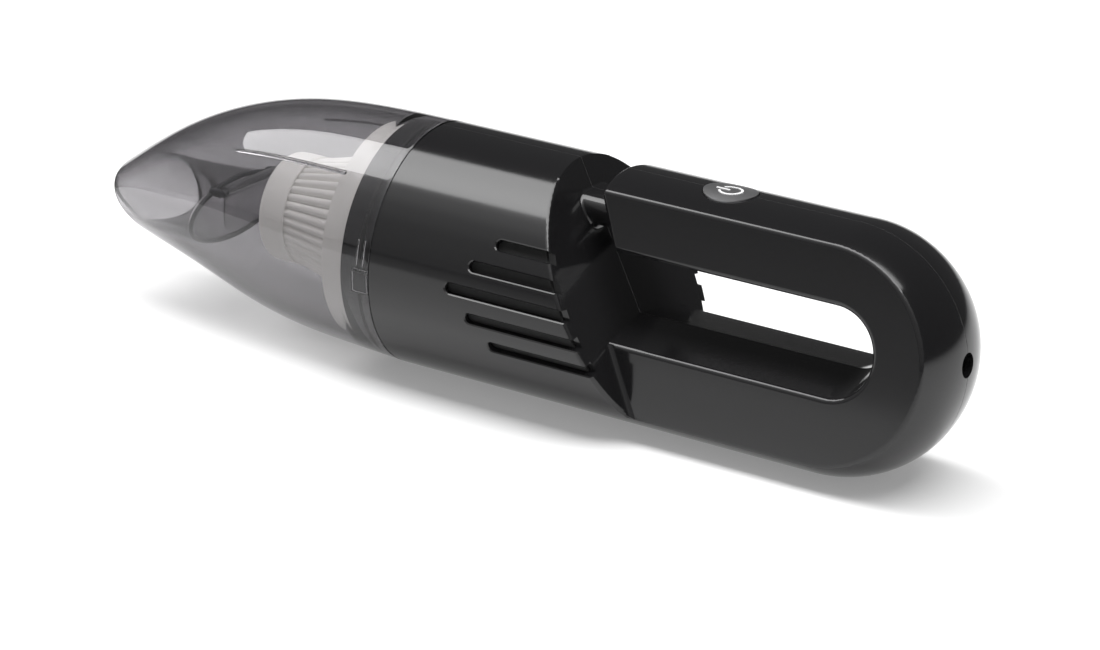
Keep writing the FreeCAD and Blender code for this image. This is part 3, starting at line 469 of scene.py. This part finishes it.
# %% Sizes of the cup, in millimetres from its seam
CUP_LENGTH = 126.0
CUP_SHARES = (0.0, 0.16, 0.32, 0.475, 0.635, 0.795, 0.95, 1.0)
CUP_TOP = smooth_curve(CUP_SHARES, (1.0, 0.995, 0.972, 0.90, 0.747, 0.50, 0.157, 0.035))
CUP_LOW = smooth_curve(CUP_SHARES, (1.0, 0.972, 0.935, 0.84, 0.675, 0.52, 0.38, 0.34))
CUP_SIDE = smooth_curve(CUP_SHARES, (1.0, 0.985, 0.945, 0.88, 0.79, 0.675, 0.50, 0.44))
CUP_RADIUS = BARREL_RADIUS / MM
CUP_REAR = 0.35
CUP_WALL = 1.9
COLLAR_STEP = 0.2
COLLAR_END = 12.0
COLLAR_BLEND = 2.0
RIM_ROUND = 0.35
MOUTH_X = 112.4
MOUTH_Z = -6.0
MOUTH_LEAN = math.tan(math.radians(37.5))
MOUTH_SEARCH_X = 60.0


def at_cup(x, y, z):
    return Vector((SEAM_X + x * MM, y * MM, AXIS_HEIGHT + z * MM))


def cup_point(x, angle, inset=0.0):
    top = CUP_TOP(x / CUP_LENGTH) * CUP_RADIUS - inset
    low = -CUP_LOW(x / CUP_LENGTH) * CUP_RADIUS + inset
    half_width = CUP_SIDE(x / CUP_LENGTH) * CUP_RADIUS - inset
    z = (top + low) / 2 + (top - low) / 2 * math.sin(angle)
    return x, half_width * math.cos(angle), z


def past_mouth(x, z):
    return x - MOUTH_X - MOUTH_LEAN * (z - MOUTH_Z)


def first_zero(rule, start, end, steps=24):
    low = start
    for i in range(1, steps + 1):
        high = start + (end - start) * i / steps
        if rule(high) > 0:
            break
        low = high
    for _ in range(30):
        middle = (low + high) / 2
        low, high = (low, middle) if rule(middle) > 0 else (middle, high)
    return low


# %% Helper: a walled tube from one rolled-up grid
def rolled_tube(name, along, around, outer, inner, rim_round=0.0):
    mesh = bpy.data.meshes.new(name)
    shape = bmesh.new()
    rim = shape.verts.layers.int.new("rim")
    rows = 2 * along + 2
    made = bmesh.ops.create_grid(shape, x_segments=rows, y_segments=around, size=1.0)
    for vert in made["verts"]:
        row = round((0.5 + vert.co.x / 2) * rows) % rows
        v = 0.5 + vert.co.y / 2
        vert[rim] = 1 if row in (0, along, along + 1, rows - 1) else 0
        vert.co = outer(row / along, v) if row <= along else inner((rows - 1 - row) / along, v)
    bmesh.ops.remove_doubles(shape, verts=shape.verts, dist=0.001 * MM)
    bmesh.ops.recalc_face_normals(shape, faces=shape.faces)
    if shape.calc_volume(signed=True) < 0:
        bmesh.ops.reverse_faces(shape, faces=shape.faces)
    if rim_round > 0:
        corners = [
            edge
            for edge in shape.edges
            if all(vert[rim] for vert in edge.verts) and edge.calc_face_angle(0.0) > 0.6
        ]
        bmesh.ops.bevel(
            shape,
            geom=corners,
            offset=rim_round * MM,
            segments=3,
            profile=0.5,
            affect="EDGES",
            material=-1,
        )
    return placed(name, mesh, shape)


def placed(name, mesh, shape):
    for face in shape.faces:
        face.smooth = True
    shape.to_mesh(mesh)
    shape.free()
    piece = bpy.data.objects.new(name, mesh)
    scene.collection.objects.link(piece)
    return piece


def finish_piece(piece, finish, body, node_name=None):
    piece.data.materials.append(finish)
    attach(piece, body)
    if node_name:
        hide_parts(node_name)
    print(piece.name, "triangles:", sum(len(face.vertices) - 2 for face in piece.data.polygons))


# %% Cup wall
def cup_skin(inset):
    ends = {}

    def place(u, v):
        angle = 2 * math.pi * v
        key = round(v % 1.0, 6)
        if key not in ends:
            ends[key] = first_zero(
                lambda x: past_mouth(x, cup_point(x, angle, inset)[2]), MOUTH_SEARCH_X, CUP_LENGTH
            )
        x = CUP_REAR + (ends[key] - CUP_REAR) * u
        collar = 0.0
        if inset:
            to_step = (COLLAR_END + COLLAR_BLEND - x) / COLLAR_BLEND
            collar = COLLAR_STEP * min(1.0, max(0.0, to_step))
        x, y, z = cup_point(x, angle, inset - collar)
        return at_cup(x, y, max(z, -AXIS_HEIGHT / MM))

    return place


clear_cup = rolled_tube("clear_cup", 96, 144, cup_skin(0.0), cup_skin(CUP_WALL), RIM_ROUND)
finish_piece(clear_cup, CUP_SMOKED, "cup", "dust_cup")

# %% [markdown]
# The mouth duct is a second clear tube inside the tip. It is oval too, leans a little at its
# rear end, and stops where it meets the cup's inner skin or the slanted mouth.

# %% Mouth duct
DUCT_REAR = 80.5
DUCT_LEAN_END = 98.0
DUCT_LEAN = math.sin(math.radians(8.0))
DUCT_WALL = 1.3
DUCT_CLEARANCE = 0.05
DUCT_SEARCH_END = 125.0
DUCT_PLACES = (DUCT_REAR, DUCT_LEAN_END, 128.0)
DUCT_MIDDLE = smooth_curve(DUCT_PLACES, (-5.0, -5.5, -6.5))
DUCT_SIDE = smooth_curve(DUCT_PLACES, (25.39, 23.49, 22.0))
DUCT_HALF_HEIGHT = smooth_curve(DUCT_PLACES, (11.4, 10.8, 13.5))


def duct_point(x, angle, inset=0.0):
    rise = (DUCT_HALF_HEIGHT(x) - inset) * math.sin(angle)
    lean = DUCT_LEAN * max(0.0, (DUCT_LEAN_END - x) / (DUCT_LEAN_END - DUCT_REAR))
    y = (DUCT_SIDE(x) - inset) * math.cos(angle)
    return x - lean * rise, y, DUCT_MIDDLE(x) + rise


def outside_cup(x, y, z):
    inset = CUP_WALL + DUCT_CLEARANCE
    _, side, middle = cup_point(x, 0.0, inset)
    top = cup_point(x, math.pi / 2, inset)[2]
    return math.hypot(y / side, (z - middle) / (top - middle)) - 1.0


def duct_skin(inset):
    ends = {}

    def stop(x, angle):
        point = duct_point(x, angle, inset)
        return max(past_mouth(point[0], point[2]) / CUP_RADIUS, outside_cup(*point))

    def place(u, v):
        angle = 2 * math.pi * v
        key = round(v % 1.0, 6)
        if key not in ends:
            ends[key] = first_zero(lambda x: stop(x, angle), DUCT_REAR, DUCT_SEARCH_END)
        return at_cup(*duct_point(DUCT_REAR + (ends[key] - DUCT_REAR) * u, angle, inset))

    return place


mouth_duct = rolled_tube("mouth_duct", 40, 144, duct_skin(0.0), duct_skin(DUCT_WALL))
finish_piece(mouth_duct, DUCT_SMOKED, "cup", "inlet_duct")


# %% Rim of the duct, with its two pin bosses
RIM_X = 80.1
RIM_INSET = 0.5
RIM_ROD = 0.8
BOSS_X = 76.6
BOSS_Y = 15.6
BOSS_Z = 4.3
BOSS_HALF_SIZES = (3.4, 1.1, 1.5)


def add_bent_rod(shape, along, around, path, radius):
    made = bmesh.ops.create_grid(shape, x_segments=along, y_segments=around, size=1.0)
    for vert in made["verts"]:
        u = 0.5 + vert.co.x / 2
        turn = math.pi * vert.co.y
        middle, out, up = path(u)
        vert.co = middle + radius * MM * (math.cos(turn) * out + math.sin(turn) * up)


def duct_rim():
    mesh = bpy.data.meshes.new("duct_rear_rim")
    shape = bmesh.new()

    def path(u):
        angle = 2 * math.pi * u
        middle = at_cup(*duct_point(RIM_X, angle, RIM_INSET))
        out = Vector((0.0, math.cos(angle), math.sin(angle)))
        return middle, out, Vector((1.0, 0.0, 0.0))

    add_bent_rod(shape, 144, 16, path, RIM_ROD)
    long, wide, tall = BOSS_HALF_SIZES
    turn = Matrix.Rotation(math.radians(90.0), 4, "Y")
    for side in (1, -1):
        spot = Matrix.Translation(at_cup(BOSS_X, BOSS_Y * side, BOSS_Z))
        bmesh.ops.create_uvsphere(
            shape,
            u_segments=24,
            v_segments=16,
            radius=MM,
            matrix=spot @ turn @ Matrix.Diagonal((tall, wide, long, 1.0)),
        )
    bmesh.ops.remove_doubles(shape, verts=shape.verts, dist=0.001 * MM)
    bmesh.ops.recalc_face_normals(shape, faces=shape.faces)
    return placed("duct_rear_rim", mesh, shape)


finish_piece(duct_rim(), RIM_DARK, "cup", "duct_rim")

# %% [markdown]
# Slim beads stand on the cup's skin: one rib on each side, and the frame of the latch beside
# the seam. A bead is a rod with rounded ends that follows the skin.


# %% Beads on the cup's skin
BEAD_LIFT = 0.03
RIB_REAR = 17.0
RIB_FRONT = 63.0
RIB_DEGREES = (43.0, 137.0)
RIB_HALF_WIDTH = 0.8
RIB_HEIGHT = 0.5
FRAME_CORNERS = ((0.9, -10.0), (6.3, -10.0), (6.3, 1.0), (0.9, 1.0))
FRAME_HALF_WIDTH = 0.2
FRAME_HEIGHT = 0.15
CLIP_PLACES = (2.6, 5.0)
CLIP_DEGREES = (2.5, 15.0)
CLIP_HALF_WIDTH = 0.35
CLIP_HEIGHT = 0.3


def add_bead(shape, start, end, half_width, height, along=36):
    (x0, deg0), (x1, deg1) = start, end
    run = math.hypot(x1 - x0, math.radians(deg1 - deg0) * CUP_RADIUS)
    made = bmesh.ops.create_grid(shape, x_segments=along, y_segments=16, size=1.0)
    cross = Vector((math.radians(deg1 - deg0) * CUP_RADIUS, x0 - x1)) / run
    for vert in made["verts"]:
        u = 0.5 - 0.5 * math.cos(math.pi * (0.5 + vert.co.x / 2))
        turn = math.pi * vert.co.y
        edge = min(1.0, min(u, 1.0 - u) * run / half_width)
        swell = math.sqrt(max(0.0, 1.0 - (1.0 - edge) ** 2))
        offset = half_width * swell * math.cos(turn)
        x = x0 + (x1 - x0) * u + cross.x * offset
        angle = math.radians(deg0 + (deg1 - deg0) * u) + cross.y * offset / CUP_RADIUS
        rise = BEAD_LIFT + height * swell * max(0.0, math.sin(turn))
        vert.co = at_cup(*cup_point(x, angle, -rise))


def cup_beads():
    mesh = bpy.data.meshes.new("cup_beads")
    shape = bmesh.new()
    for degrees in RIB_DEGREES:
        add_bead(shape, (RIB_REAR, degrees), (RIB_FRONT, degrees), RIB_HALF_WIDTH, RIB_HEIGHT)
    for i, corner in enumerate(FRAME_CORNERS):
        following = FRAME_CORNERS[(i + 1) % len(FRAME_CORNERS)]
        add_bead(shape, corner, following, FRAME_HALF_WIDTH, FRAME_HEIGHT, 12)
    for x in CLIP_PLACES:
        low, high = ((x, degrees) for degrees in CLIP_DEGREES)
        add_bead(shape, low, high, CLIP_HALF_WIDTH, CLIP_HEIGHT, 16)
    bmesh.ops.remove_doubles(shape, verts=shape.verts, dist=0.0005 * MM)
    bmesh.ops.dissolve_degenerate(shape, edges=shape.edges, dist=0.0005 * MM)
    bmesh.ops.recalc_face_normals(shape, faces=shape.faces)
    return placed("cup_beads", mesh, shape)


finish_piece(cup_beads(), CUP_SMOKED, "cup")

# %% [markdown]
# The filter paper is folded all the way round. Each fold is a round ridge with a narrow
# valley beside it, and the folds get slimmer towards the end cap.

# %% Filter paper
FOLDS = 40
PAPER_REAR = 20.6
PAPER_LENGTH = 29.8
PAPER_RADIUS = 24.6
PAPER_TAPER = 7.3
FOLD_DEPTH = 2.9
FOLD_TAPER = 0.9
FOLD_ROUNDNESS = 2.4
PAPER_WALL = 0.8


def paper_skin(inner):
    def place(u, v):
        x = PAPER_REAR + PAPER_LENGTH * u
        radius = PAPER_RADIUS - PAPER_TAPER * u
        depth = FOLD_DEPTH - FOLD_TAPER * u
        across = 2.0 * ((v * FOLDS) % 1.0) - 1.0
        fold = math.sqrt(max(0.0, 1.0 - abs(across) ** FOLD_ROUNDNESS))
        reach = radius - depth * (1.0 - fold)
        if inner:
            reach = radius - depth - PAPER_WALL
        angle = 2 * math.pi * v
        return at_cup(x, reach * math.cos(angle), reach * math.sin(angle))

    return place


filter_folds = rolled_tube("filter_folds", 12, FOLDS * 10, paper_skin(False), paper_skin(True))
finish_piece(filter_folds, FILTER_PAPER, "filter", "filter_pleats")

# %% [markdown]
# ## Floor, lamps and camera
# A black gloss shows its surroundings more than itself, so the studio is laid out for its
# reflections. One large soft box overhead gives the grey streak along the barrel. In
# reflections only, the table is painted dim from a hand's width in front of the cleaner: a
# painted reflection that gives the line low on its side. A painted pool of light glows on the
# table close to the cleaner, also seen only in reflections. Behind the cleaner the room is dim.
# The camera itself sees only white around the cleaner, with its soft shadow on the table.


# %% Floor
# In reflections only, the floor is painted dim past a line in front of the cleaner, and a painted
# pool of light glows on it near the cleaner.
PAINTED_DIM_EDGE = 0.25
PAINTED_DIM_SOFTNESS = 0.03
PAINTED_POOL_RADIUS = 0.15
PAINTED_POOL_START = 0.035
PAINTED_POOL_GLOW = 0.28
FLOOR_FILL = 0.24
FLOOR_HALF_SIZE = 6.0
TABLE_WHITE = (0.8, 0.8, 0.8, 1.0)
PAINTED_DIM_IN_GLOSS = (0.3, 0.3, 0.3, 1.0)


def math_node(tree, operation, first, second):
    node = tree.nodes.new("ShaderNodeMath")
    node.operation = operation
    for socket, value in zip(node.inputs, (first, second)):
        if isinstance(value, (int, float)):
            socket.default_value = value
        else:
            tree.links.new(value, socket)
    return node.outputs[0]


def ramp_node(tree, value, from_min, from_max, to_min, to_max):
    node = tree.nodes.new("ShaderNodeMapRange")
    node.interpolation_type = "SMOOTHSTEP"
    node.inputs["From Min"].default_value = from_min
    node.inputs["From Max"].default_value = from_max
    node.inputs["To Min"].default_value = to_min
    node.inputs["To Max"].default_value = to_max
    tree.links.new(value, node.inputs["Value"])
    return node.outputs["Result"]


def make_floor():
    mesh = bpy.data.meshes.new("floor")
    shape = bmesh.new()
    bmesh.ops.create_grid(shape, x_segments=1, y_segments=1, size=FLOOR_HALF_SIZE)
    shape.to_mesh(mesh)
    shape.free()
    floor = bpy.data.objects.new("floor", mesh)
    scene.collection.objects.link(floor)
    material, tree, shader = new_material("floor_white")
    shader.inputs["Roughness"].default_value = 0.9
    shader.inputs["Specular IOR Level"].default_value = 0.1
    path = tree.nodes.new("ShaderNodeLightPath")
    place = tree.nodes.new("ShaderNodeTexCoord")
    split = tree.nodes.new("ShaderNodeSeparateXYZ")
    tree.links.new(place.outputs["Object"], split.inputs[0])
    # Painted reflection: glossy rays see the floor dim past that line, while the camera sees it
    # white.
    past_painted_edge = ramp_node(
        tree, split.outputs["Y"], PAINTED_DIM_EDGE, PAINTED_DIM_EDGE + PAINTED_DIM_SOFTNESS, 0.0, 1.0
    )
    glossy = path.outputs["Is Glossy Ray"]
    painted_dim_mask = math_node(tree, "MULTIPLY", past_painted_edge, glossy)
    base = tree.nodes.new("ShaderNodeMix")
    base.data_type = "RGBA"
    base.inputs["A"].default_value = TABLE_WHITE
    base.inputs["B"].default_value = PAINTED_DIM_IN_GLOSS
    tree.links.new(painted_dim_mask, base.inputs["Factor"])
    tree.links.new(base.outputs["Result"], shader.inputs["Base Color"])
    seen = math_node(
        tree, "MAXIMUM", path.outputs["Is Camera Ray"], path.outputs["Is Transmission Ray"]
    )
    fill = math_node(tree, "MULTIPLY", seen, FLOOR_FILL)
    # Painted pool of light: the floor glows near the cleaner, seen only in reflections.
    painted_pool_fade = ramp_node(tree, split.outputs["Y"], PAINTED_POOL_START, PAINTED_POOL_RADIUS, PAINTED_POOL_GLOW, 0.0)
    painted_pool = math_node(tree, "MULTIPLY", painted_pool_fade, glossy)
    emission_with_painted_glow = math_node(tree, "ADD", fill, painted_pool)
    shader.inputs["Emission Color"].default_value = (1.0, 1.0, 1.0, 1.0)
    tree.links.new(emission_with_painted_glow, shader.inputs["Emission Strength"])
    mesh.materials.append(material)
    return floor


make_floor()


# %% World
SKY_LEVELS = ((0.0, 0.33), (0.4, 0.42), (0.6, 0.65), (0.74, 1.1), (0.84, 1.8))
ROOM_BEHIND = 0.07
ROOM_DIFFUSE = 0.22


def make_world():
    world = bpy.data.worlds.new("studio")
    world.use_nodes = True
    scene.world = world
    tree = world.node_tree
    background = tree.nodes["Background"]
    path = tree.nodes.new("ShaderNodeLightPath")
    place = tree.nodes.new("ShaderNodeTexCoord")
    split = tree.nodes.new("ShaderNodeSeparateXYZ")
    tree.links.new(place.outputs["Generated"], split.inputs[0])
    sky = tree.nodes.new("ShaderNodeValToRGB")
    ramp = sky.color_ramp
    ramp.interpolation = "EASE"
    for position, level in SKY_LEVELS[1:-1]:
        ramp.elements.new(position)
    for element, (position, level) in zip(ramp.elements, SKY_LEVELS):
        element.position = position
        element.color = (level, level, level, 1.0)
    tree.links.new(split.outputs["Z"], sky.inputs["Fac"])
    front = ramp_node(tree, split.outputs["Y"], -0.25, 0.25, 0.0, 1.0)
    lit = math_node(tree, "MULTIPLY", sky.outputs["Color"], front)
    gloss_level = math_node(tree, "MAXIMUM", lit, ROOM_BEHIND)
    diffuse = tree.nodes.new("ShaderNodeMix")
    diffuse.inputs["A"].default_value = ROOM_DIFFUSE
    tree.links.new(path.outputs["Is Glossy Ray"], diffuse.inputs["Factor"])
    tree.links.new(gloss_level, diffuse.inputs["B"])
    seen = math_node(
        tree, "MAXIMUM", path.outputs["Is Camera Ray"], path.outputs["Is Transmission Ray"]
    )
    level = tree.nodes.new("ShaderNodeMix")
    level.inputs["B"].default_value = 1.0
    tree.links.new(seen, level.inputs["Factor"])
    tree.links.new(diffuse.outputs["Result"], level.inputs["A"])
    background.inputs["Color"].default_value = (1.0, 1.0, 1.0, 1.0)
    tree.links.new(level.outputs["Result"], background.inputs["Strength"])


make_world()


# %% Lamps
def soft_box(name, place, target, width, depth, watts):
    lamp = bpy.data.lights.new(name, "AREA")
    lamp.shape = "RECTANGLE"
    lamp.size = width
    lamp.size_y = depth
    lamp.energy = watts
    box = bpy.data.objects.new(name, lamp)
    box.location = place
    aim = Vector(target) - Vector(place)
    box.rotation_euler = aim.to_track_quat("-Z", "Y").to_euler()
    scene.collection.objects.link(box)
    return box


soft_box("soft_box_above", (0.35, 0.08, 1.2), (0.35, 0.08, 0.0), 2.5, 0.8, 32.0)


# %% [markdown]
# The camera was fitted to the photo: its turn, its height and its roll in degrees, its focal
# length in pixels, and the pixel where the centre of the seam between cup and barrel falls.

# %% Camera
PICTURE_WIDTH = 1100.0
PICTURE_HEIGHT = 650.0
SENSOR_WIDTH = 36.0
CAMERA_TURN = 30.67
CAMERA_HEIGHT = 20.4
CAMERA_ROLL = 2.91
FOCAL_PIXELS = 3615.4
DISTANCE_IN_RADII = 29.283
SEAM_PIXEL = (438.29, 242.38)


def make_camera():
    azimuth = math.radians(CAMERA_TURN)
    elevation = math.radians(CAMERA_HEIGHT)
    roll = math.radians(CAMERA_ROLL)
    side = Vector((-math.cos(azimuth), -math.sin(azimuth), 0.0))
    level = Vector((-math.sin(azimuth), math.cos(azimuth), 0.0))
    upward = Vector((0.0, 0.0, math.cos(elevation))) - math.sin(elevation) * level
    back = math.cos(elevation) * level + Vector((0.0, 0.0, math.sin(elevation)))
    right = math.cos(roll) * side + math.sin(roll) * upward
    above = math.cos(roll) * upward - math.sin(roll) * side
    distance = DISTANCE_IN_RADII * BARREL_RADIUS
    across = (SEAM_PIXEL[0] - PICTURE_WIDTH / 2) / FOCAL_PIXELS * distance
    up_shift = (PICTURE_HEIGHT / 2 - SEAM_PIXEL[1]) / FOCAL_PIXELS * distance
    seam = Vector((SEAM_X, 0.0, AXIS_HEIGHT))
    place = seam - across * right - up_shift * above + distance * back
    lens = bpy.data.cameras.new("camera")
    lens.sensor_width = SENSOR_WIDTH
    lens.lens = FOCAL_PIXELS / PICTURE_WIDTH * SENSOR_WIDTH
    lens.clip_start = 0.01
    camera = bpy.data.objects.new("camera", lens)
    rotation = (
        (right.x, above.x, back.x, place.x),
        (right.y, above.y, back.y, place.y),
        (right.z, above.z, back.z, place.z),
        (0.0, 0.0, 0.0, 1.0),
    )
    camera.matrix_world = Matrix(rotation)
    scene.collection.objects.link(camera)
    scene.camera = camera
    print("camera at", [round(v, 3) for v in place], "lens", round(lens.lens, 1))


make_camera()
scene.view_settings.view_transform = "Standard"
